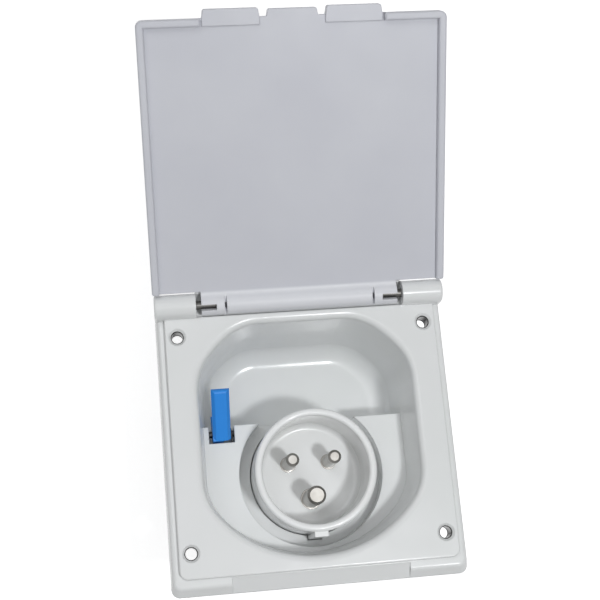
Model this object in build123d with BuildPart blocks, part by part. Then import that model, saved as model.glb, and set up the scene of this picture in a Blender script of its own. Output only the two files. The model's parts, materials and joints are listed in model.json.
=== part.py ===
from build123d import *
import math
import os

# Flush mains inlet with a hinged lid, lying on its back: X to the right, Y towards the hinge,
# Z out of the panel. Z = 0 is the panel face under the gasket, X = Y = 0 the middle of the screws.

# Clearances
loose_gap = 0.3
running_gap = 0.05
seat_gap = 0.02

# Flange
gasket_thickness = 1.5
gasket_inset = 1.5
flange_front_z = 8.0
flange_front_half_width = 50.5
flange_lower_margin = 4.7
flange_step = 2.3
flange_side_ledge = 2.5
flange_lower_ledge = 3.2
flange_side_lean = 0.8
flange_lower_lean = 2.8
flange_face_corner_radius = 3.0
flange_corner_radius = 3.2
flange_ledge_round = 1.6
flange_skin = 2.6
flange_skirt = 5.0
flange_edge_round = 0.6
screw_side_margin = 4.5
screw_lower_margin = 9.0
screw_hole_radius = 2.1
screw_sink_radius = 3.2
screw_boss_radius = 4.6
grip_recess_margin = 0.6
grip_recess_lip = 0.4

# Bowl behind the flange
bowl_center_y = 2.3
bowl_side_room = 0.21
bowl_bulge = 5.7
bowl_top_cut = 5.3
bowl_corner_radius = 20.0
bowl_mouth_round = 2.5
bowl_wall = 2.5
bowl_floor_z = -37.0
bowl_floor_thickness = 2.5
bowl_draft = 3.4
cavity_floor_round = 8.0
shelf_z = -15.0
shelf_edge_y = 8.0
shelf_skin = 2.5

# Shroud and contact pins
shroud_x = 1.6
shroud_radius = 22.6
shroud_wall = 2.8
shroud_rim_z = 2.5
shroud_rim_round = 1.2
moat_gap = 4.8
moat_wall = 2.2
moat_wall_gap = 0.15
key_width = 5.0
key_height = 1.8
key_drop = 1.0
cup_depth = 25.5
cup_floor_round = 2.4
carrier_thickness = 6.0
pin_circle_radius = 9.1
live_pin_angle = 30.0
neutral_pin_angle = 150.0
earth_pin_angle = 270.0
pin_recess = 5.0
pin_tip_chamfer = 0.9
phase_pin_radius = 2.5
earth_pin_radius = 3.5
pin_root_extra = 0.5
pin_collar_extra = 1.6
pin_collar_height = 2.8
terminal_extra = 1.0
terminal_length = 20.0
wire_hole_radius = 1.8
wire_hole_from_end = 7.0
insert_flange_margin = 0.6
insert_flange_thickness = 3.0
insert_ear_radius = 3.0
insert_ear_overlap = 0.8
insert_boss_extra = 0.6
seal_thickness = 1.2
retainer_thickness = 3.0
retainer_screw_circle = 12.5

# Small screws of the insert, the retainer and the terminals
small_screw_radius = 1.25
small_head_radius = 2.4
small_head_height = 1.6
small_screw_grip = 4.0
insert_screw_grip = 10.0
drive_slot_width = 0.8
drive_slot_depth = 0.7

# Rear cover and its screws
cover_gland_room = 1.3
cover_wall = 2.2
cover_back_skin = 2.5
ear_radius = 4.2
ear_height = 14.0
ear_offset = 1.2
ear_angle = 45.0
cover_screw_radius = 1.5
cover_head_radius = 2.8
cover_head_height = 2.2
cover_head_sink = 4.0
cover_screw_grip = 10.0

# Cable gland in the right side of the cover
gland_thread_radius = 8.0
gland_bore_radius = 5.2
gland_hex_radius = 10.6
gland_hex_length = 4.0
gland_neck_radius = 7.2
gland_neck_length = 4.6
gland_cap_radius = 9.4
gland_cap_skin = 1.8
gland_cap_round = 1.6
gland_seal_length = 2.4
locknut_length = 3.0
gland_thread_spare = 1.0

# Hinge
barrel_radius = 4.5
barrel_width = 15.3
barrel_end_round = 1.0
hinge_strip = 0.9
hinge_rise = 1.3
hinge_pin_radius = 1.6
hinge_pin_sink = 0.6
hinge_pin_margin = 1.0
stop_gap = 0.35
trough_wall = 1.4
roll_radius = 3.8
roll_gap = 0.4
roll_end_gap = 2.0
roll_blend = 2.0
knuckle_width = 9.0
knuckle_groove_width = 0.8
knuckle_groove_depth = 2.4
knuckle_slot_length = 5.6
knuckle_slot_width = 2.2

# Lid
lid_open_angle = 149.4
lid_side_overhang = 0.4
lid_lower_inset = 1.0
lid_start_gap = 0.8
lid_corner_radius = 2.4
lid_hinge_corner_radius = 0.9
lid_skin = 2.4
lid_rim_height = 2.6
lid_rim_width = 2.7
lid_rim_gap = 0.3
lid_rim_round = 0.8
lid_edge_round = 1.0
tab_length = 3.0
middle_tab_length = 2.5
tab_rise = 0.8
tab_slit = 0.7
side_tab_width = 20.0
middle_tab_width = 18.0
tab_gap = 2.5
tab_taper = 0.5
tab_round = 0.8

# Catch lever, its pivot and its pocket in the shelf
latch_from_wall = 8.6
latch_width = 6.8
latch_side_gap = 1.5
latch_lean = 34.5
latch_arm_length = 20.9
latch_thickness = 4.0
latch_tip_thickness = 3.0
latch_bevel = 1.2
latch_tip_round = 1.2
latch_foot_in = 5.7
latch_foot_above = 1.2
latch_pivot_in = 2.4
latch_pivot_below = 5.5
latch_barrel_radius = 2.9
latch_barrel_width = 4.2
latch_neck_length = 6.0
latch_hook_reach = 5.2
latch_hook_drop = 6.5
latch_hook_nose = 2.6
latch_pin_radius = 1.3
latch_pin_end = 1.6
pocket_in = 6.4
pocket_below_pivot = 10.5
pocket_wall = 2.2
spring_wire_radius = 0.35
spring_radius = 2.1
spring_pitch = 0.8
spring_turns = 3
spring_leg_length = 2.6

# Places worked out from the sizes above
bowl_depth = flange_front_z - bowl_floor_z
floor_back_z = bowl_floor_z - bowl_floor_thickness
floor_lean = bowl_draft * (flange_front_z - floor_back_z) / bowl_depth
moat_radius = shroud_radius + moat_gap
insert_ear_x = moat_radius + moat_wall + insert_ear_radius - insert_ear_overlap
cover_half_width = shroud_x + insert_ear_x + insert_ear_radius + bowl_side_room + cover_wall
bowl_half_width = cover_half_width - bowl_wall + floor_lean
bowl_radius = bowl_half_width + bowl_bulge
bowl_top = bowl_center_y + bowl_radius - bowl_top_cut
shroud_y = bowl_center_y - bowl_radius + bowl_draft + moat_radius + moat_wall_gap
shroud_place = (shroud_x, shroud_y)
flange_front_bottom = bowl_center_y - bowl_radius - flange_lower_margin
screw_spacing_x = 2 * (flange_front_half_width - screw_side_margin)
screw_spacing_y = -2 * (flange_front_bottom + screw_lower_margin)
flange_back_z = gasket_thickness
ledge_z = flange_front_z - flange_step
ledge_half_width = flange_front_half_width + flange_side_ledge
ledge_bottom = flange_front_bottom - flange_lower_ledge
flange_back_half_width = ledge_half_width + flange_side_lean
flange_back_bottom = ledge_bottom - flange_lower_lean
flange_top = bowl_top + bowl_mouth_round + hinge_strip
hinge_y = flange_top + roll_radius + roll_gap
hinge_z = flange_front_z + hinge_rise
flange_back_top = hinge_y + roll_radius + roll_gap + trough_wall
barrel_inner_x = flange_back_half_width - barrel_width
roll_half_width = barrel_inner_x - roll_end_gap
knuckle_inner_x = roll_half_width - knuckle_width
insert_flange_z = floor_back_z - seal_thickness
insert_back_z = insert_flange_z - insert_flange_thickness
shroud_bore_radius = shroud_radius - shroud_wall
cup_floor_z = shroud_rim_z - cup_depth
moat_floor_z = cup_floor_z
sleeve_radius = shroud_radius + key_height + loose_gap + moat_wall
pin_tip_z = shroud_rim_z - pin_recess
carrier_back_z = cup_floor_z - carrier_thickness
retainer_back_z = carrier_back_z - retainer_thickness
terminal_end_z = retainer_back_z - terminal_length
cover_front_z = floor_back_z - seal_thickness
cover_inside_z = cover_front_z - 2 * gland_hex_radius - cover_gland_room
cover_back_z = cover_inside_z - cover_back_skin
cover_seat_z = cover_back_z + cover_head_sink
insert_flange_radius = moat_radius - insert_flange_margin
latch_x = latch_from_wall - bowl_half_width
latch_left_x = latch_x - latch_width / 2
pocket_left_x = latch_left_x - latch_side_gap
pocket_right_x = latch_x + latch_width / 2 + latch_side_gap
pocket_low_y = shelf_edge_y - pocket_in
latch_pivot = (shelf_edge_y - latch_pivot_in, shelf_z - latch_pivot_below)
latch_foot = (shelf_edge_y - latch_foot_in, shelf_z + latch_foot_above)
pocket_floor_z = latch_pivot[1] - pocket_below_pivot
lid_half_width = flange_back_half_width + lid_side_overhang
lid_start = barrel_radius + lid_start_gap
lid_length = hinge_y - flange_back_bottom - lid_lower_inset
lid_inner_face = hinge_z - ledge_z - lid_rim_gap - lid_rim_height
lid_outer_face = lid_inner_face - lid_skin
lid_tilt = math.radians(180.0 - lid_open_angle)
stop_z = hinge_z + (
    (lid_outer_face - stop_gap + math.sin(lid_tilt) * (roll_radius + roll_gap)) / math.cos(lid_tilt)
)
gland_seal_x = cover_half_width + gland_hex_length + gland_neck_length
gland_place = (bowl_center_y, (cover_front_z + cover_back_z) / 2)
tabs_width = 2 * side_tab_width + middle_tab_width + 2 * tab_gap
side_tab_x = (middle_tab_width + side_tab_width) / 2 + tab_gap

screw_places = [
    (side * screw_spacing_x / 2, end * screw_spacing_y / 2) for side in (-1, 1) for end in (-1, 1)
]
ear_circle_radius = bowl_radius - bowl_draft + bowl_wall + ear_offset
ear_places = [
    (
        side * ear_circle_radius * math.cos(math.radians(ear_angle)),
        bowl_center_y + end * ear_circle_radius * math.sin(math.radians(ear_angle)),
    )
    for side in (-1, 1)
    for end in (-1, 1)
]
insert_ear_places = [(shroud_x + side * insert_ear_x, shroud_y) for side in (-1, 1)]
pin_angles = {"live": live_pin_angle, "neutral": neutral_pin_angle, "earth": earth_pin_angle}
pin_radii = {"live": phase_pin_radius, "neutral": phase_pin_radius, "earth": earth_pin_radius}


def level(z):
    """Plane parallel to the panel at height z."""
    return Plane.XY.offset(z)


def across(x):
    """Plane square to the hinge at x, with sketch axes Y and Z."""
    return Plane.YZ.offset(x)


def lid_plane(height):
    """Plane of the opened lid: X along the hinge, Y towards the free edge, height towards the inside."""
    through_hinge = Plane(
        origin=(0, hinge_y, hinge_z),
        x_dir=(1, 0, 0),
        z_dir=(0, -math.sin(lid_tilt), math.cos(lid_tilt)),
    )
    return through_hinge.offset(height)


def about_shroud(radius, angle):
    """Point at an angle round the middle of the shroud."""
    return (
        shroud_x + radius * math.cos(math.radians(angle)),
        shroud_y + radius * math.sin(math.radians(angle)),
    )


def draft_at(z):
    """How far the bowl's wall has leaned in at height z."""
    return bowl_draft * (flange_front_z - z) / bowl_depth


def bowl_outline(z, change):
    """Round bowl outline with flat sides and a flat top at height z, grown or shrunk all round."""
    with BuildSketch(level(z)) as outline:
        with Locations((0, bowl_center_y)):
            Circle(bowl_radius + change)
        with Locations((0, bowl_top + change)):
            Rectangle(
                2 * (bowl_half_width + change),
                3 * bowl_radius,
                align=(Align.CENTER, Align.MAX),
                mode=Mode.INTERSECT,
            )
        fillet(outline.vertices(), bowl_corner_radius)
    return outline.sketch


def drafted_bowl(top_z, bottom_z, grow):
    """The two outlines between which the bowl's leaning wall runs, grown all round."""
    return [bowl_outline(z, grow - draft_at(z)) for z in (top_z, bottom_z)]


def cover_outline(z, shrink):
    """Outline of the cover and its gasket: the bowl's outside at its floor."""
    return bowl_outline(z, bowl_wall - draft_at(floor_back_z) - shrink)


def flange_outline(z, half_width, bottom, corner_radius):
    """Flange outline below the hinge: square at the hinge, round at the lower corners."""
    with BuildSketch(level(z)) as outline:
        with Locations((0, flange_top)):
            Rectangle(2 * half_width, flange_top - bottom, align=(Align.CENTER, Align.MAX))
        fillet(outline.vertices().group_by(Axis.Y)[0], corner_radius)
    return outline.sketch


def along(point, direction, distance):
    """Point moved along a flat direction."""
    return (point[0] + direction[0] * distance, point[1] + direction[1] * distance)


def slotted_screws(places, seat_z, shank_radius, shank_length, head_radius, head_height):
    """Screws driven from behind: heads below seat_z, shanks above it, one slot in each head."""
    with BuildPart() as screws:
        with BuildSketch(level(seat_z)):
            with Locations(*places):
                Circle(head_radius)
        extrude(amount=-head_height)
        with BuildSketch(level(seat_z)):
            with Locations(*places):
                Circle(shank_radius)
        extrude(amount=shank_length)
        with BuildSketch(level(seat_z - head_height)):
            with Locations(*places):
                Rectangle(2 * head_radius, drive_slot_width)
        extrude(amount=drive_slot_depth, mode=Mode.SUBTRACT)
    return screws


pin_places = [about_shroud(pin_circle_radius, angle) for angle in pin_angles.values()]
retainer_screw_places = [
    about_shroud(retainer_screw_circle, angle + 180.0) for angle in pin_angles.values()
]

os.makedirs("parts", exist_ok=True)

# Cutter: the whole inside of the bowl, with a rounded floor in its deep part above the shelf
with BuildPart() as bowl_inside:
    loft(drafted_bowl(flange_front_z, bowl_floor_z, 0.0))
    fillet(bowl_inside.faces().sort_by(Axis.Z)[0].edges(), cavity_floor_round)
    with BuildSketch(level(bowl_floor_z)):
        with Locations((0, shelf_edge_y)):
            Rectangle(4 * bowl_radius, 4 * bowl_radius, align=(Align.CENTER, Align.MAX))
    extrude(amount=shelf_z - bowl_floor_z, mode=Mode.SUBTRACT)

# Hinge barrels at the two upper corners, made apart so that their ends can be rounded
with BuildPart() as hinge_barrels:
    with BuildSketch(across(barrel_inner_x)):
        with Locations((hinge_y, hinge_z)):
            Circle(barrel_radius)
        with Locations((hinge_y, flange_back_z)):
            Rectangle(2 * barrel_radius, hinge_z - flange_back_z, align=(Align.CENTER, Align.MIN))
    extrude(amount=barrel_width)
    barrel_end = hinge_barrels.faces().sort_by(Axis.X)[-1]
    fillet(barrel_end.edges().sort_by(Axis.Z)[1:], barrel_end_round)
    mirror(about=Plane.YZ)

# Housing: flange, hinge barrels, bowl, shelf and moat in one moulding
with BuildPart() as base_housing:
    skirt_foot = flange_outline(
        flange_back_z, flange_back_half_width, flange_back_bottom, flange_corner_radius
    )
    skirt_top = flange_outline(ledge_z, ledge_half_width, ledge_bottom, flange_corner_radius)
    loft([skirt_foot, skirt_top])
    ledge_edges = base_housing.faces().sort_by(Axis.Z)[-1].edges().sort_by(Axis.Y)[:-1]
    fillet(ledge_edges, flange_ledge_round)
    raised_face = flange_outline(
        flange_back_z, flange_front_half_width, flange_front_bottom, flange_face_corner_radius
    )
    extrude(raised_face, amount=flange_front_z - flange_back_z)
    front_edges = base_housing.faces().sort_by(Axis.Z)[-1].edges().sort_by(Axis.Y)[:-1]
    fillet(front_edges, flange_edge_round)

    # Sloping grip recess across the lower ledge, under the lid's tabs
    with BuildSketch(across(-tabs_width / 2 - grip_recess_margin)):
        with BuildLine():
            Polyline(
                (flange_front_bottom - grip_recess_lip, ledge_z + grip_recess_lip),
                (flange_front_bottom - grip_recess_lip, ledge_z),
                (flange_back_bottom + grip_recess_lip, flange_back_z + grip_recess_lip),
                (2 * flange_back_bottom, flange_back_z + grip_recess_lip),
                (2 * flange_back_bottom, ledge_z + grip_recess_lip),
                close=True,
            )
        make_face()
    extrude(amount=tabs_width + 2 * grip_recess_margin, mode=Mode.SUBTRACT)

    # Hollow back of the flange, with a boss round each screw
    hollow_top = flange_top - flange_skirt
    hollow_bottom = flange_back_bottom + flange_lower_lean + flange_skirt
    with BuildSketch(level(flange_back_z)):
        with Locations((0, hollow_top)):
            Rectangle(
                2 * (flange_back_half_width - flange_skirt),
                hollow_top - hollow_bottom,
                align=(Align.CENTER, Align.MAX),
            )
        with Locations(*screw_places):
            Circle(screw_boss_radius, mode=Mode.SUBTRACT)
    extrude(amount=flange_front_z - flange_skin - flange_back_z, mode=Mode.SUBTRACT)

    # Outside of the bowl and the ears for the cover screws
    loft(drafted_bowl(flange_front_z - flange_skin, floor_back_z, bowl_wall))
    with BuildSketch(level(floor_back_z)):
        with Locations(*ear_places):
            Circle(ear_radius)
    extrude(amount=ear_height)

    # Inside of the bowl, with its rounded mouth
    add(bowl_inside.part, mode=Mode.SUBTRACT)
    front_face = base_housing.faces().filter_by(Plane.XY).sort_by(Axis.Z)[-1]
    fillet(front_face.inner_wires()[0].edges(), bowl_mouth_round)

    # Moat round the shroud and the keyed hole that the insert passes
    with BuildSketch(level(moat_floor_z)):
        with Locations(shroud_place):
            Circle(moat_radius)
    extrude(amount=shelf_z - moat_floor_z, mode=Mode.SUBTRACT)
    with BuildSketch(level(floor_back_z)):
        with Locations(shroud_place):
            Circle(shroud_radius + loose_gap)
            Rectangle(
                key_width + 2 * loose_gap,
                shroud_radius + key_height + loose_gap,
                align=(Align.CENTER, Align.MAX),
            )
    extrude(amount=moat_floor_z - floor_back_z, mode=Mode.SUBTRACT)

    # Hollows under the shelf and under the moat, round the sleeve that guides the insert,
    # with a boss for each insert screw and a wall round the catch's pocket
    for solid_radius, hollow_roof_z in (
        (moat_radius + moat_wall, shelf_z - shelf_skin),
        (sleeve_radius, moat_floor_z - moat_wall),
    ):
        with BuildSketch(level(floor_back_z)):
            add(bowl_outline(floor_back_z, -draft_at(floor_back_z)))
            with Locations((0, shelf_edge_y - shelf_skin)):
                Rectangle(
                    4 * bowl_radius,
                    2 * bowl_radius,
                    align=(Align.CENTER, Align.MIN),
                    mode=Mode.SUBTRACT,
                )
            with Locations(shroud_place):
                Circle(solid_radius, mode=Mode.SUBTRACT)
            with Locations(*insert_ear_places):
                Circle(insert_ear_radius + insert_boss_extra, mode=Mode.SUBTRACT)
            with Locations((pocket_right_x + pocket_wall, pocket_low_y - pocket_wall)):
                Rectangle(
                    bowl_half_width,
                    bowl_radius,
                    align=(Align.MAX, Align.MIN),
                    mode=Mode.SUBTRACT,
                )
        extrude(amount=hollow_roof_z - floor_back_z, mode=Mode.SUBTRACT)

    # Pocket of the catch, open towards the deep part, and the bore of its pivot
    with BuildSketch(level(pocket_floor_z)):
        with Locations((pocket_left_x, pocket_low_y)):
            Rectangle(
                pocket_right_x - pocket_left_x,
                pocket_in + shelf_skin,
                align=(Align.MIN, Align.MIN),
            )
    extrude(amount=shelf_z - pocket_floor_z, mode=Mode.SUBTRACT)
    with BuildSketch(across(pocket_right_x + latch_pin_end)):
        with Locations(latch_pivot):
            Circle(latch_pin_radius + seat_gap)
    extrude(amount=-2 * bowl_half_width, mode=Mode.SUBTRACT)

    # Hinge barrels, the trough between them, its back that the opened lid leans on, and the pin bores
    with BuildSketch(level(flange_back_z)):
        with Locations((0, flange_back_top)):
            Rectangle(
                2 * barrel_inner_x,
                flange_back_top - flange_top + bowl_wall,
                align=(Align.CENTER, Align.MAX),
            )
    extrude(amount=ledge_z - flange_back_z)
    with BuildSketch(level(flange_back_z)):
        with Locations((0, flange_back_top)):
            Rectangle(2 * barrel_inner_x, flange_back_top - hinge_y, align=(Align.CENTER, Align.MAX))
    extrude(amount=stop_z - flange_back_z)
    add(hinge_barrels.part)
    with BuildSketch(across(-barrel_inner_x)):
        with Locations((hinge_y, hinge_z)):
            Circle(roll_radius + roll_gap)
    extrude(amount=2 * barrel_inner_x, mode=Mode.SUBTRACT)
    with BuildSketch(across(-lid_half_width)):
        with Locations((hinge_y, hinge_z)):
            Circle(hinge_pin_radius + seat_gap)
    extrude(amount=2 * lid_half_width, mode=Mode.SUBTRACT)

    # Countersunk holes for the mounting screws
    with Locations(*[(x, y, flange_front_z) for x, y in screw_places]):
        CounterSinkHole(screw_hole_radius, screw_sink_radius, flange_front_z)

    # Blind holes for the cover screws and the insert screws
    with BuildSketch(level(floor_back_z)):
        with Locations(*ear_places):
            Circle(cover_screw_radius + seat_gap)
    extrude(amount=cover_screw_grip + loose_gap, mode=Mode.SUBTRACT)
    with BuildSketch(level(floor_back_z)):
        with Locations(*insert_ear_places):
            Circle(small_screw_radius + seat_gap)
    extrude(amount=insert_screw_grip + loose_gap, mode=Mode.SUBTRACT)
base_housing.part.label = "base_housing"
export_step(base_housing.part, "parts/base_housing.step")

# Flat seal between the flange and the panel
with BuildPart() as wall_gasket:
    with BuildSketch(level(0)) as gasket_outline:
        with Locations((0, flange_back_top - gasket_inset)):
            Rectangle(
                2 * (flange_back_half_width - gasket_inset),
                flange_back_top - flange_back_bottom - 2 * gasket_inset,
                align=(Align.CENTER, Align.MAX),
            )
        fillet(gasket_outline.vertices(), flange_corner_radius)
        add(bowl_outline(0, bowl_wall + loose_gap - draft_at(flange_back_z)), mode=Mode.SUBTRACT)
        with Locations(*screw_places):
            Circle(screw_hole_radius, mode=Mode.SUBTRACT)
    extrude(amount=gasket_thickness)
wall_gasket.part.label = "wall_gasket"
export_step(wall_gasket.part, "parts/wall_gasket.step")

# Lid, opened as far as it goes
with BuildPart() as lid:
    with BuildSketch(lid_plane(lid_outer_face)) as skin_outline:
        with Locations((0, lid_start)):
            Rectangle(
                2 * lid_half_width,
                lid_length - lid_start,
                align=(Align.CENTER, Align.MIN),
            )
        fillet(skin_outline.vertices().group_by(Axis.Y)[-1], lid_corner_radius)
        fillet(skin_outline.vertices().group_by(Axis.Y)[0], lid_hinge_corner_radius)
    extrude(amount=lid_skin)
    inside = Axis((0, hinge_y, hinge_z), lid_plane(0).z_dir)
    fillet(lid.faces().sort_by(inside)[0].edges(), lid_edge_round)

    # Rim on the sides and the free edge, broken where the tabs stand
    with BuildSketch(lid_plane(lid_inner_face)) as rim_outline:
        with Locations((0, lid_start)):
            Rectangle(
                2 * lid_half_width,
                lid_length - lid_start,
                align=(Align.CENTER, Align.MIN),
            )
        fillet(rim_outline.vertices().group_by(Axis.Y)[-1], lid_corner_radius)
        fillet(rim_outline.vertices().group_by(Axis.Y)[0], lid_hinge_corner_radius)
        with Locations((0, lid_length - lid_rim_width)):
            Rectangle(
                2 * (lid_half_width - lid_rim_width),
                lid_length,
                align=(Align.CENTER, Align.MAX),
                mode=Mode.SUBTRACT,
            )
        Rectangle(tabs_width + 2 * tab_slit, 3 * lid_length, mode=Mode.SUBTRACT)
    extrude(amount=lid_rim_height)
    rim_tops = lid.faces().filter_by(lid_plane(0)).group_by(inside)[-1]
    fillet(rim_tops.edges(), lid_rim_round)

    # Grip tabs on the free edge: the outer two stand a little above the inner face, the middle one is level
    for tab_x, tab_width, tab_reach, tab_height in (
        (-side_tab_x, side_tab_width, tab_length, lid_skin + tab_rise),
        (0, middle_tab_width, middle_tab_length, lid_skin),
        (side_tab_x, side_tab_width, tab_length, lid_skin + tab_rise),
    ):
        with BuildSketch(lid_plane(lid_outer_face)) as tab:
            with BuildLine():
                Polyline(
                    (tab_x - tab_width / 2, lid_length - lid_rim_width),
                    (tab_x - tab_width / 2, lid_length),
                    (tab_x - tab_width / 2 + tab_taper, lid_length + tab_reach),
                    (tab_x + tab_width / 2 - tab_taper, lid_length + tab_reach),
                    (tab_x + tab_width / 2, lid_length),
                    (tab_x + tab_width / 2, lid_length - lid_rim_width),
                    close=True,
                )
            make_face()
            fillet(tab.vertices().sort_by(Axis.Y)[-2:], tab_round)
        extrude(amount=tab_height)

    # Rolled edge round the hinge and the strip that joins it to the skin, blended into each other
    with BuildSketch(across(-roll_half_width)):
        with Locations((hinge_y, hinge_z)):
            Circle(roll_radius)
    extrude(amount=2 * roll_half_width)
    with BuildSketch(lid_plane(lid_outer_face)):
        Rectangle(2 * roll_half_width, lid_start + lid_rim_width, align=(Align.CENTER, Align.MIN))
    extrude(amount=lid_skin)
    roll_edge_y = math.sqrt(roll_radius**2 - lid_inner_face**2)
    roll_edge = lid_plane(lid_inner_face).from_local_coords((0, roll_edge_y, 0))
    fillet(lid.edges().filter_by(Axis.X).sort_by_distance(roll_edge)[0], roll_blend)

    # Knuckles at the ends of the roll: a bore, a slot open to the end and a groove beside each
    with BuildSketch(across(-roll_half_width)):
        with Locations((hinge_y, hinge_z)):
            Circle(hinge_pin_radius + running_gap)
    extrude(amount=2 * roll_half_width, mode=Mode.SUBTRACT)
    for side in (-1, 1):
        with BuildSketch(lid_plane(0)):
            with Locations((side * (roll_half_width - knuckle_slot_length / 2), 0)):
                Rectangle(knuckle_slot_length, knuckle_slot_width)
        extrude(amount=2 * roll_radius, mode=Mode.SUBTRACT)
        with BuildSketch(lid_plane(roll_radius - knuckle_groove_depth)):
            with Locations((side * knuckle_inner_x, 0)):
                Rectangle(knuckle_groove_width, 2 * roll_radius)
        extrude(amount=2 * knuckle_groove_depth, mode=Mode.SUBTRACT)
lid.part.label = "lid"
export_step(lid.part, "parts/lid.step")

# Hinge pins, pushed into the barrels from the sides
for side, pin_name in ((-1, "hinge_pin_left"), (1, "hinge_pin_right")):
    with BuildPart() as hinge_pin:
        with BuildSketch(across(side * (knuckle_inner_x + hinge_pin_margin))):
            with Locations((hinge_y, hinge_z)):
                Circle(hinge_pin_radius)
        pin_length = flange_back_half_width - hinge_pin_sink - knuckle_inner_x - hinge_pin_margin
        extrude(amount=side * pin_length)
    hinge_pin.part.label = pin_name
    export_step(hinge_pin.part, f"parts/{pin_name}.step")

# Catch lever: a leaning arm, with a narrower neck, barrel and hook below it
lean = (math.cos(math.radians(latch_lean)), math.sin(math.radians(latch_lean)))
outward = (-lean[1], lean[0])
latch_tip = along(latch_foot, lean, latch_arm_length)
latch_back = along(latch_foot, outward, -latch_thickness)
with BuildPart() as latch_lever:
    with BuildSketch(across(latch_left_x)):
        with BuildLine():
            Polyline(
                latch_foot,
                latch_tip,
                along(latch_tip, outward, -latch_tip_thickness),
                latch_back,
                close=True,
            )
        make_face()
    extrude(amount=latch_width)
    arm_front = latch_lever.faces().sort_by(Axis((0, 0, 0), (0, *outward)))[-1]
    chamfer(arm_front.edges().filter_by(Axis.X, reverse=True), latch_bevel)
    tip_edges = latch_lever.edges().filter_by(Axis.X).sort_by(Axis((0, 0, 0), (0, *lean)))[-2:]
    fillet(tip_edges, latch_tip_round)
    with BuildSketch(across(latch_left_x)):
        with BuildLine():
            Polyline(
                latch_foot,
                (latch_foot[0], latch_pivot[1]),
                (latch_pivot[0] + latch_barrel_radius, latch_pivot[1]),
                along(latch_back, lean, latch_neck_length),
                close=True,
            )
        make_face()
        with Locations(latch_pivot):
            Circle(latch_barrel_radius)
        hook_y = shelf_edge_y + latch_hook_reach
        hook_z = latch_pivot[1] - latch_hook_drop
        with BuildLine():
            Polyline(
                latch_pivot,
                (latch_pivot[0] + latch_barrel_radius, latch_pivot[1]),
                (hook_y, hook_z + latch_hook_nose),
                (hook_y, hook_z),
                (latch_pivot[0] + latch_barrel_radius, hook_z),
                (latch_pivot[0], latch_pivot[1] - latch_barrel_radius),
                close=True,
            )
        make_face()
        with Locations(latch_pivot):
            Circle(latch_pin_radius + running_gap, mode=Mode.SUBTRACT)
    extrude(amount=latch_barrel_width)
latch_lever.part.label = "latch_lever"
export_step(latch_lever.part, "parts/latch_lever.step")

# Pivot of the catch, pushed in from outside the bowl
with BuildPart() as latch_pin:
    with BuildSketch(across(pocket_right_x + latch_pin_end)):
        with Locations(latch_pivot):
            Circle(latch_pin_radius)
    extrude(amount=-(pocket_right_x + latch_pin_end + bowl_half_width))
latch_pin.part.label = "latch_pin"
export_step(latch_pin.part, "parts/latch_pin.step")

# Torsion spring on the pivot, beside the barrel, with one leg on the pocket's wall
spring_start_x = latch_left_x + latch_barrel_width + loose_gap + spring_wire_radius
spring_center = (spring_start_x, *latch_pivot)
wall_leg_length = latch_pivot[0] - pocket_low_y - loose_gap
with BuildPart() as latch_spring:
    with BuildLine() as spring_path:
        coil = Helix(
            spring_pitch,
            spring_pitch * spring_turns,
            spring_radius,
            center=spring_center,
            direction=(1, 0, 0),
        )
        Line(coil @ 0 - (coil % 0) * spring_leg_length, coil @ 0)
        Line(coil @ 1, coil @ 1 + (coil % 1) * wall_leg_length)
    with BuildSketch(spring_path.wires()[0] ^ 0):
        Circle(spring_wire_radius)
    sweep(is_frenet=True)
latch_spring.part.label = "latch_spring"
export_step(latch_spring.part, "parts/latch_spring.step")

# Insert: shroud tube with its key, the floor that carries the pins, and a flange behind the housing
with BuildPart() as inlet_insert:
    with BuildSketch(level(insert_back_z)):
        with Locations(shroud_place):
            Circle(insert_flange_radius)
            Rectangle(2 * insert_ear_x, 2 * insert_ear_radius)
        with Locations(*insert_ear_places):
            Circle(insert_ear_radius)
    extrude(amount=insert_flange_thickness)
    with BuildSketch(level(insert_back_z)):
        with Locations(shroud_place):
            Circle(shroud_radius)
    extrude(amount=shroud_rim_z - insert_back_z)
    with BuildSketch(level(cup_floor_z)):
        with Locations(shroud_place):
            Circle(shroud_bore_radius)
    extrude(amount=cup_depth, mode=Mode.SUBTRACT)
    rim = inlet_insert.faces().filter_by(Plane.XY).sort_by(Axis.Z)[-1]
    fillet(rim.edges(), shroud_rim_round)
    cup_floor = [
        face
        for face in inlet_insert.faces().filter_by(Plane.XY)
        if abs(face.center().Z - cup_floor_z) < seat_gap
    ]
    fillet(cup_floor[0].edges(), cup_floor_round)
    with BuildSketch(level(insert_back_z)):
        with Locations(shroud_place):
            Circle(shroud_bore_radius)
    extrude(amount=carrier_back_z - insert_back_z, mode=Mode.SUBTRACT)

    # Key rib on the side of the tube away from the hinge
    with BuildSketch(level(insert_flange_z)):
        with Locations((shroud_x, shroud_y - shroud_radius - key_height)):
            Rectangle(key_width, key_height + shroud_wall / 2, align=(Align.CENTER, Align.MIN))
    extrude(amount=shroud_rim_z - key_drop - insert_flange_z)

    # Seats of the pins, and the screw holes
    for name, angle in pin_angles.items():
        with BuildSketch(level(carrier_back_z)):
            with Locations(about_shroud(pin_circle_radius, angle)):
                Circle(pin_radii[name] + pin_root_extra + seat_gap)
        extrude(amount=carrier_thickness, mode=Mode.SUBTRACT)
        with BuildSketch(level(carrier_back_z)):
            with Locations(about_shroud(pin_circle_radius, angle)):
                Circle(pin_radii[name] + pin_collar_extra + seat_gap)
        extrude(amount=pin_collar_height, mode=Mode.SUBTRACT)
    with BuildSketch(level(carrier_back_z)):
        with Locations(*retainer_screw_places):
            Circle(small_screw_radius + seat_gap)
    extrude(amount=small_screw_grip + loose_gap, mode=Mode.SUBTRACT)
    with BuildSketch(level(insert_back_z)):
        with Locations(*insert_ear_places):
            Circle(small_screw_radius + loose_gap)
    extrude(amount=insert_flange_thickness, mode=Mode.SUBTRACT)
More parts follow.
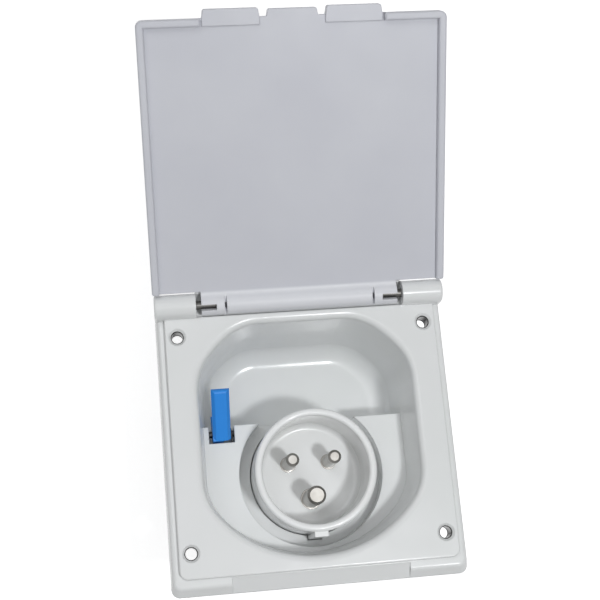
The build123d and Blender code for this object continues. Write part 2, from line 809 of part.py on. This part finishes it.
inlet_insert.part.label = "inlet_insert"
export_step(inlet_insert.part, "parts/inlet_insert.step")

# Flat ring between the insert's flange and the housing floor
with BuildPart() as insert_seal:
    with BuildSketch(level(insert_flange_z)):
        with Locations(shroud_place):
            Circle(insert_flange_radius)
            Circle(shroud_radius + key_height + loose_gap, mode=Mode.SUBTRACT)
    extrude(amount=seal_thickness)
insert_seal.part.label = "insert_seal"
export_step(insert_seal.part, "parts/insert_seal.step")

# Contact pins: a chamfered pin, its thicker root and collar in the carrier, and a wire terminal behind
for name, angle in pin_angles.items():
    place = about_shroud(pin_circle_radius, angle)
    terminal_radius = pin_radii[name] + terminal_extra
    outward_way = (math.cos(math.radians(angle)), math.sin(math.radians(angle)), 0)
    wire_hole_plane = Plane(
        origin=(*place, terminal_end_z + wire_hole_from_end),
        x_dir=(0, 0, 1),
        z_dir=outward_way,
    )
    with BuildPart() as contact_pin:
        with BuildSketch(level(carrier_back_z)):
            with Locations(place):
                Circle(pin_radii[name])
        extrude(amount=pin_tip_z - carrier_back_z)
        chamfer(contact_pin.faces().sort_by(Axis.Z)[-1].edges(), pin_tip_chamfer)
        with BuildSketch(level(carrier_back_z)):
            with Locations(place):
                Circle(pin_radii[name] + pin_root_extra)
        extrude(amount=carrier_thickness)
        with BuildSketch(level(carrier_back_z)):
            with Locations(place):
                Circle(pin_radii[name] + pin_collar_extra)
        extrude(amount=pin_collar_height)
        with BuildSketch(level(terminal_end_z)):
            with Locations(place):
                Circle(terminal_radius)
        extrude(amount=carrier_back_z - terminal_end_z)
        with BuildSketch(level(terminal_end_z)):
            with Locations(place):
                Circle(small_screw_radius + seat_gap)
        extrude(amount=wire_hole_from_end, mode=Mode.SUBTRACT)
        with BuildSketch(wire_hole_plane):
            Circle(wire_hole_radius)
        extrude(amount=terminal_radius, both=True, mode=Mode.SUBTRACT)
    contact_pin.part.label = f"{name}_pin"
    export_step(contact_pin.part, f"parts/{name}_pin.step")

# Plate that keeps the pins' collars in the carrier
with BuildPart() as pin_retainer:
    with BuildSketch(level(retainer_back_z)):
        with Locations(shroud_place):
            Circle(shroud_bore_radius - loose_gap)
        for name, angle in pin_angles.items():
            with Locations(about_shroud(pin_circle_radius, angle)):
                Circle(pin_radii[name] + terminal_extra + seat_gap, mode=Mode.SUBTRACT)
        with Locations(*retainer_screw_places):
            Circle(small_screw_radius + loose_gap, mode=Mode.SUBTRACT)
    extrude(amount=retainer_thickness)
pin_retainer.part.label = "pin_retainer"
export_step(pin_retainer.part, "parts/pin_retainer.step")

# Small screws: in the ends of the terminals, in the retainer and in the insert's ears
terminal_screws = slotted_screws(
    pin_places, terminal_end_z, small_screw_radius, small_screw_grip, small_head_radius, small_head_height
)
terminal_screws.part.label = "terminal_screws"
export_step(terminal_screws.part, "parts/terminal_screws.step")

retainer_screws = slotted_screws(
    retainer_screw_places,
    retainer_back_z,
    small_screw_radius,
    retainer_thickness + small_screw_grip,
    small_head_radius,
    small_head_height,
)
retainer_screws.part.label = "retainer_screws"
export_step(retainer_screws.part, "parts/retainer_screws.step")

insert_screws = slotted_screws(
    insert_ear_places,
    insert_back_z,
    small_screw_radius,
    insert_flange_thickness + seal_thickness + insert_screw_grip,
    small_head_radius,
    small_head_height,
)
insert_screws.part.label = "insert_screws"
export_step(insert_screws.part, "parts/insert_screws.step")

# Flat ring between the cover and the housing
with BuildPart() as cover_gasket:
    with BuildSketch(level(cover_front_z)):
        add(cover_outline(cover_front_z, 0.0))
        with Locations(*ear_places):
            Circle(ear_radius)
        add(cover_outline(cover_front_z, cover_wall), mode=Mode.SUBTRACT)
        with Locations(*ear_places):
            Circle(cover_screw_radius + loose_gap, mode=Mode.SUBTRACT)
    extrude(amount=seal_thickness)
cover_gasket.part.label = "cover_gasket"
export_step(cover_gasket.part, "parts/cover_gasket.step")

# Rear cover: a closed box with a screw column at each ear and a round hole for the gland
with BuildPart() as rear_cover:
    with BuildSketch(level(cover_back_z)):
        add(cover_outline(cover_back_z, 0.0))
        with Locations(*ear_places):
            Circle(ear_radius)
    extrude(amount=cover_front_z - cover_back_z)
    extrude(
        cover_outline(cover_inside_z, cover_wall),
        amount=cover_front_z - cover_inside_z,
        mode=Mode.SUBTRACT,
    )
    with BuildSketch(level(cover_back_z)):
        with Locations(*ear_places):
            Circle(cover_screw_radius + loose_gap)
    extrude(amount=cover_front_z - cover_back_z, mode=Mode.SUBTRACT)
    with BuildSketch(level(cover_back_z)):
        with Locations(*ear_places):
            Circle(cover_head_radius + loose_gap)
    extrude(amount=cover_head_sink, mode=Mode.SUBTRACT)
    with BuildSketch(across(cover_half_width)):
        with Locations(gland_place):
            Circle(gland_thread_radius + seat_gap)
    extrude(amount=-2 * cover_wall, mode=Mode.SUBTRACT)
rear_cover.part.label = "rear_cover"
export_step(rear_cover.part, "parts/rear_cover.step")

cover_screws = slotted_screws(
    ear_places,
    cover_seat_z,
    cover_screw_radius,
    floor_back_z + cover_screw_grip - cover_seat_z,
    cover_head_radius,
    cover_head_height,
)
cover_screws.part.label = "cover_screws"
export_step(cover_screws.part, "parts/cover_screws.step")

# Cable gland: body with a hexagon outside the cover, locknut inside, seal and cap on its neck
with BuildPart() as gland_body:
    with BuildSketch(across(cover_half_width)):
        with Locations(gland_place):
            RegularPolygon(gland_hex_radius, 6)
    extrude(amount=gland_hex_length)
    with BuildSketch(across(cover_half_width - cover_wall - locknut_length - gland_thread_spare)):
        with Locations(gland_place):
            Circle(gland_thread_radius)
    extrude(amount=cover_wall + locknut_length + gland_thread_spare)
    with BuildSketch(across(cover_half_width + gland_hex_length)):
        with Locations(gland_place):
            Circle(gland_neck_radius)
    extrude(amount=gland_neck_length)
    with BuildSketch(across(cover_half_width + gland_hex_length + gland_neck_length)):
        with Locations(gland_place):
            Circle(gland_bore_radius)
    extrude(amount=-2 * (gland_hex_length + gland_neck_length + locknut_length), mode=Mode.SUBTRACT)
gland_body.part.label = "gland_body"
export_step(gland_body.part, "parts/gland_body.step")

with BuildPart() as gland_locknut:
    with BuildSketch(across(cover_half_width - cover_wall - locknut_length)):
        with Locations(gland_place):
            RegularPolygon(gland_hex_radius, 6)
            Circle(gland_thread_radius + seat_gap, mode=Mode.SUBTRACT)
    extrude(amount=locknut_length)
gland_locknut.part.label = "gland_locknut"
export_step(gland_locknut.part, "parts/gland_locknut.step")

with BuildPart() as gland_seal:
    with BuildSketch(across(gland_seal_x)):
        with Locations(gland_place):
            Circle(gland_neck_radius)
            Circle(gland_bore_radius, mode=Mode.SUBTRACT)
    extrude(amount=gland_seal_length)
gland_seal.part.label = "gland_seal"
export_step(gland_seal.part, "parts/gland_seal.step")

with BuildPart() as gland_cap:
    with BuildSketch(across(cover_half_width + gland_hex_length)):
        with Locations(gland_place):
            Circle(gland_cap_radius)
    extrude(amount=gland_neck_length + gland_seal_length + gland_cap_skin)
    fillet(gland_cap.faces().sort_by(Axis.X)[-1].edges(), gland_cap_round)
    with BuildSketch(across(cover_half_width + gland_hex_length)):
        with Locations(gland_place):
            Circle(gland_neck_radius + seat_gap)
    extrude(amount=gland_neck_length + gland_seal_length, mode=Mode.SUBTRACT)
    with BuildSketch(across(gland_seal_x + gland_seal_length)):
        with Locations(gland_place):
            Circle(gland_bore_radius)
    extrude(amount=gland_cap_skin, mode=Mode.SUBTRACT)
gland_cap.part.label = "gland_cap"
export_step(gland_cap.part, "parts/gland_cap.step")
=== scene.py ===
import json

import bpy
from mathutils import Matrix, Vector


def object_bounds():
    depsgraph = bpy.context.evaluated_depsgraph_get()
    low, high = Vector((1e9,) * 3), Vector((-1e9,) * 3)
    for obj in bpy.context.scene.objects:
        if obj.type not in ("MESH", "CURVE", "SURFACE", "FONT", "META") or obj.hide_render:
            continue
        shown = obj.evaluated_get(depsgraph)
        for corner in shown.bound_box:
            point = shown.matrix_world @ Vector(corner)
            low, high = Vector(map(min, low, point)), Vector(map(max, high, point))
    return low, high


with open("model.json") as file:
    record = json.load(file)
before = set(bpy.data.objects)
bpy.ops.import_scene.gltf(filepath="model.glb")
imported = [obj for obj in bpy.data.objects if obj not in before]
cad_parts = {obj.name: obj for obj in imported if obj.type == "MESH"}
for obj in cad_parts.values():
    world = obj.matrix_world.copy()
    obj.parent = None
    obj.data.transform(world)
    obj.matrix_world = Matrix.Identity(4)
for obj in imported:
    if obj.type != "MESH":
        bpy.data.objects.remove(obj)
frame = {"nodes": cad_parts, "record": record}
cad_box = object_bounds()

MM = 0.001
nodes = frame["nodes"]
record = frame["record"]
scene = bpy.context.scene


def tone(red, green, blue):
    """Screen colour from 0 to 255 as a linear shader colour."""
    def linear(value):
        value = value / 255.0
        return value / 12.92 if value <= 0.04045 else ((value + 0.055) / 1.055) ** 2.4
    return (linear(red), linear(green), linear(blue), 1.0)


# Plastic: clouds in the colour, uneven gloss and a fine grain, lengths in millimetres
cloud_scale = 28.0
cloud_detail = 4.0
gloss_scale = 90.0
gloss_detail = 3.0
grain_scale = 1900.0
grain_detail = 2.0
grain_depth = 0.02
plastic_ior = 1.49

# Metal: tarnish in the colour and turning marks, lengths in millimetres
tarnish_scale = 220.0
tarnish_detail = 4.0
mark_scale = 60.0
mark_detail = 3.0
mark_strength = 0.25
mark_depth = 0.03
metal_edge_radius = 0.15

# Part of a noise's range that is spread over the whole of another range
noise_low = 0.3
noise_high = 0.7
edge_samples = 4

# Painted shade in and round the holes of the mounting screws, and a painted highlight on the roll at the
# lid's hinge, lengths in millimetres
painted_hole_shade = tone(60, 60, 58)
painted_hole_shade_margin = 0.3
painted_roll_highlight = tone(226, 227, 231)
roll_reach = 4.6
roll_fade = 1.0

# Floor and room
floor_half = 2.0
floor_color = (0.80, 0.80, 0.80, 1.0)
floor_roughness = 0.9
floor_lift_level = 0.68
room_level = 0.26
white = (1.0, 1.0, 1.0, 1.0)
cool_light = (0.97, 0.985, 1.0)

# Camera at the photograph's place: looking down on the part from the lower left
camera_lens = 72.0
camera_sensor = 36.0
camera_place = Vector((-0.05143, -0.04839, 0.44187))
camera_look = Vector((0.1157, 0.22, -0.9686)).normalized()
camera_top = Vector((0.0616, 0.9717, 0.2281))


# Shader steps

def noise(tree, place, scale, detail, stretch=None):
    """Noise texture over the object's own coordinates, stretched along an axis if asked."""
    texture = tree.nodes.new("ShaderNodeTexNoise")
    texture.inputs["Scale"].default_value = scale
    texture.inputs["Detail"].default_value = detail
    if stretch:
        mapping = tree.nodes.new("ShaderNodeMapping")
        mapping.inputs["Scale"].default_value = stretch
        tree.links.new(place, mapping.inputs["Vector"])
        place = mapping.outputs["Vector"]
    tree.links.new(place, texture.inputs["Vector"])
    return texture.outputs["Fac"]


def map_range(tree, value, start, end, low, high):
    """Maps a value from the range between start and end to the range between low and high."""
    ranged = tree.nodes.new("ShaderNodeMapRange")
    ranged.inputs["From Min"].default_value = start
    ranged.inputs["From Max"].default_value = end
    ranged.inputs["To Min"].default_value = low
    ranged.inputs["To Max"].default_value = high
    tree.links.new(value, ranged.inputs["Value"])
    return ranged.outputs["Result"]


def spread(tree, value, low, high):
    """Maps the middle of a noise to the range from low to high."""
    return map_range(tree, value, noise_low, noise_high, low, high)


def mix_colors(tree, factor, first, second):
    """Two colours mixed by a factor, the first of them a plain colour or another node's."""
    mixed = tree.nodes.new("ShaderNodeMix")
    mixed.data_type = "RGBA"
    if isinstance(first, tuple):
        mixed.inputs["A"].default_value = first
    else:
        tree.links.new(first, mixed.inputs["A"])
    mixed.inputs["B"].default_value = second
    tree.links.new(factor, mixed.inputs["Factor"])
    return mixed.outputs["Result"]


def scalar_math(tree, operation, first, second):
    """Operation on a value and another value or a plain number."""
    step = tree.nodes.new("ShaderNodeMath")
    step.operation = operation
    tree.links.new(first, step.inputs[0])
    if isinstance(second, float):
        step.inputs[1].default_value = second
    else:
        tree.links.new(second, step.inputs[1])
    return step.outputs["Value"]


def vector_math(tree, operation, vector, other=None):
    """Operation on a vector and, where one is given, a plain second vector."""
    step = tree.nodes.new("ShaderNodeVectorMath")
    step.operation = operation
    tree.links.new(vector, step.inputs[0])
    if other:
        step.inputs[1].default_value = other
    return step.outputs["Value" if operation == "LENGTH" else "Vector"]


def distance_from(tree, place, center, counted):
    """Distance from a point, along the axes that are counted with one and not with nought."""
    offset = vector_math(tree, "SUBTRACT", place, center)
    return vector_math(tree, "LENGTH", vector_math(tree, "MULTIPLY", offset, counted))


def surface_bump(tree, shader, height, strength, depth, edge_radius):
    """Bump from a height, on softly rounded edges."""
    edge = tree.nodes.new("ShaderNodeBevel")
    edge.samples = edge_samples
    edge.inputs["Radius"].default_value = edge_radius * MM
    bump = tree.nodes.new("ShaderNodeBump")
    bump.inputs["Strength"].default_value = strength
    bump.inputs["Distance"].default_value = depth * MM
    tree.links.new(height, bump.inputs["Height"])
    tree.links.new(edge.outputs["Normal"], bump.inputs["Normal"])
    tree.links.new(bump.outputs["Normal"], shader.inputs["Normal"])


def painted_hole_shade_mask(tree, place):
    """One inside the holes of the mounting screws and on a thin ring round them, where shade is painted,
    nought elsewhere.
    """
    mounts = {mount["name"]: mount for mount in record["mounts"]}
    pattern = mounts["flange_screws"]["dims"]
    hole = (pattern["spacing_x_mm"] / 2 * MM, pattern["spacing_y_mm"] / 2 * MM, 0.0)
    folded = vector_math(tree, "ABSOLUTE", place)
    distance = distance_from(tree, folded, hole, (1.0, 1.0, 0.0))
    return scalar_math(tree, "LESS_THAN", distance, (pattern["hole_r_mm"] + painted_hole_shade_margin) * MM)


def painted_roll_highlight_mask(tree, place):
    """One on the rolled edge round the lid's hinge line, where a highlight is painted, fading to nought
    further out.
    """
    joints = {joint["name"]: joint for joint in record["behaviour"]["joints"]}
    distance = distance_from(tree, place, joints["lid_hinge"]["pos_m"], (0.0, 1.0, 1.0))
    return map_range(tree, distance, (roll_reach + roll_fade) * MM, roll_reach * MM, 0.0, 1.0)


# Materials

finishes = {}


def start_material(name):
    """New finish with its principled shader and object coordinates."""
    material = bpy.data.materials.new(name)
    material.use_nodes = True
    finishes[name] = material
    tree = material.node_tree
    place = tree.nodes.new("ShaderNodeTexCoord")
    return tree, tree.nodes["Principled BSDF"], place.outputs["Object"]


def moulded_plastic(
    name, color, dull_color, roughness, grain, edge_radius, mask=None, mask_color=None, mirror=0.5
):
    """Plastic between two colours, with a painted shade or painted highlight colour where a mask says so."""
    tree, shader, place = start_material(name)
    clouds = spread(tree, noise(tree, place, cloud_scale, cloud_detail), 0.0, 1.0)
    paint = mix_colors(tree, clouds, color, dull_color)
    # Painted shade or painted highlight where the mask says so
    if mask:
        paint = mix_colors(tree, mask(tree, place), paint, mask_color)
    tree.links.new(paint, shader.inputs["Base Color"])
    gloss = spread(tree, noise(tree, place, gloss_scale, gloss_detail), *roughness)
    tree.links.new(gloss, shader.inputs["Roughness"])
    surface_bump(tree, shader, noise(tree, place, grain_scale, grain_detail), grain, grain_depth, edge_radius)
    shader.inputs["IOR"].default_value = plastic_ior
    shader.inputs["Specular IOR Level"].default_value = mirror


def turned_metal(name, color, worn_color, roughness, stretch):
    """Plated metal between two colours, with fine turning marks across its length."""
    tree, shader, place = start_material(name)
    tarnish = spread(tree, noise(tree, place, tarnish_scale, tarnish_detail), 0.0, 1.0)
    tree.links.new(mix_colors(tree, tarnish, color, worn_color), shader.inputs["Base Color"])
    marks = noise(tree, place, mark_scale, mark_detail, stretch)
    tree.links.new(spread(tree, marks, *roughness), shader.inputs["Roughness"])
    surface_bump(tree, shader, marks, mark_strength, mark_depth, metal_edge_radius)
    shader.inputs["Metallic"].default_value = 1.0


# Housing, with painted shade in and round the screw holes
moulded_plastic(
    "housing_plastic", tone(232, 233, 233), tone(228, 230, 229),
    roughness=(0.16, 0.26), grain=0.12, edge_radius=0.5, mask=painted_hole_shade_mask, mask_color=painted_hole_shade,
)
# Lid, with a painted highlight on the roll at its hinge
moulded_plastic(
    "lid_plastic", tone(210, 211, 217), tone(204, 205, 212),
    roughness=(0.34, 0.44), grain=0.15, edge_radius=0.5, mask=painted_roll_highlight_mask, mask_color=painted_roll_highlight,
    mirror=0.25,
)
moulded_plastic(
    "insert_plastic", tone(241, 242, 242), tone(238, 239, 238),
    roughness=(0.16, 0.26), grain=0.12, edge_radius=0.3,
)
moulded_plastic(
    "latch_plastic", tone(44, 146, 236), tone(36, 139, 230),
    roughness=(0.34, 0.46), grain=0.25, edge_radius=0.3,
)
moulded_plastic(
    "cover_plastic", tone(92, 94, 97), tone(82, 84, 87),
    roughness=(0.42, 0.58), grain=0.45, edge_radius=0.4,
)
moulded_plastic(
    "gland_plastic", tone(66, 67, 70), tone(56, 57, 60),
    roughness=(0.40, 0.55), grain=0.45, edge_radius=0.3,
)
moulded_plastic(
    "seal_rubber", tone(52, 52, 52), tone(42, 42, 43),
    roughness=(0.62, 0.80), grain=0.60, edge_radius=0.2,
)
turned_metal(
    "contact_metal", tone(170, 168, 164), tone(146, 143, 138),
    roughness=(0.26, 0.38), stretch=(1.0, 1.0, 40.0),
)
turned_metal(
    "hinge_steel", tone(104, 103, 101), tone(84, 83, 81),
    roughness=(0.34, 0.46), stretch=(1.0, 40.0, 40.0),
)
turned_metal(
    "screw_steel", tone(184, 184, 182), tone(160, 159, 155),
    roughness=(0.26, 0.38), stretch=(30.0, 30.0, 1.0),
)

for subpart in record["subparts"]:
    for slot in nodes[subpart["node"]].material_slots:
        slot.material = finishes[subpart["material_slot"]]


# Floor under the part, white to the camera but still taking its shadow

floor_z = cad_box[0][2]
floor_mesh = bpy.data.meshes.new("floor")
floor_mesh.from_pydata(
    [
        (-floor_half, -floor_half, floor_z),
        (floor_half, -floor_half, floor_z),
        (floor_half, floor_half, floor_z),
        (-floor_half, floor_half, floor_z),
    ],
    [],
    [(0, 1, 2, 3)],
)
floor = bpy.data.objects.new("floor", floor_mesh)
scene.collection.objects.link(floor)
floor_paint = bpy.data.materials.new("floor_paint")
floor_paint.use_nodes = True
floor_tree = floor_paint.node_tree
floor_shader = floor_tree.nodes["Principled BSDF"]
floor_shader.inputs["Base Color"].default_value = floor_color
floor_shader.inputs["Roughness"].default_value = floor_roughness
floor_shader.inputs["Specular IOR Level"].default_value = 0.0
floor_shader.inputs["Emission Color"].default_value = white
floor_rays = floor_tree.nodes.new("ShaderNodeLightPath").outputs
floor_seen = scalar_math(floor_tree, "MAXIMUM", floor_rays["Is Camera Ray"], floor_rays["Is Glossy Ray"])
floor_lift = scalar_math(floor_tree, "MULTIPLY", floor_seen, floor_lift_level)
floor_tree.links.new(floor_lift, floor_shader.inputs["Emission Strength"])
floor_mesh.materials.append(floor_paint)


# Room light, white where the camera or a reflection sees it

world = bpy.data.worlds.new("room")
scene.world = world
world.use_nodes = True
world_tree = world.node_tree
background = world_tree.nodes["Background"]
background.inputs["Color"].default_value = white
world_rays = world_tree.nodes.new("ShaderNodeLightPath").outputs
world_mirrored = scalar_math(
    world_tree, "MAXIMUM", world_rays["Is Glossy Ray"], world_rays["Is Transmission Ray"]
)
world_seen = scalar_math(world_tree, "MAXIMUM", world_rays["Is Camera Ray"], world_mirrored)
world_level = map_range(world_tree, world_seen, 0.0, 1.0, room_level, 1.0)
world_tree.links.new(world_level, background.inputs["Strength"])


# Lamps

def soft_lamp(name, place, target, size, power):
    """Square area lamp turned towards a point."""
    lamp = bpy.data.lights.new(name, "AREA")
    lamp.size = size
    lamp.energy = power
    lamp.color = cool_light
    holder = bpy.data.objects.new(name, lamp)
    holder.location = place
    holder.rotation_euler = (Vector(target) - Vector(place)).to_track_quat("-Z", "Y").to_euler()
    scene.collection.objects.link(holder)


soft_lamp("flash_lamp", place=(0.135, -0.18, 0.675), target=(0.0, 0.0, 0.0), size=0.06, power=1.90)
soft_lamp("front_lamp", place=(-0.08, -0.08, 1.0), target=(0.0, 0.03, 0.0), size=0.60, power=0.80)
soft_lamp("upper_lamp", place=(-0.30, 0.30, 0.80), target=(0.0, -0.01, 0.0), size=0.40, power=1.10)


# Camera

camera_data = bpy.data.cameras.new("camera")
camera_data.lens = camera_lens
camera_data.sensor_width = camera_sensor
camera = bpy.data.objects.new("camera", camera_data)
camera_right = camera_look.cross(camera_top).normalized()
camera_upright = camera_right.cross(camera_look)
camera_turn = Matrix((camera_right, camera_upright, -camera_look)).transposed().to_4x4()
camera.matrix_world = Matrix.Translation(camera_place) @ camera_turn
scene.collection.objects.link(camera)
scene.camera = camera
scene.view_settings.view_transform = "Standard"
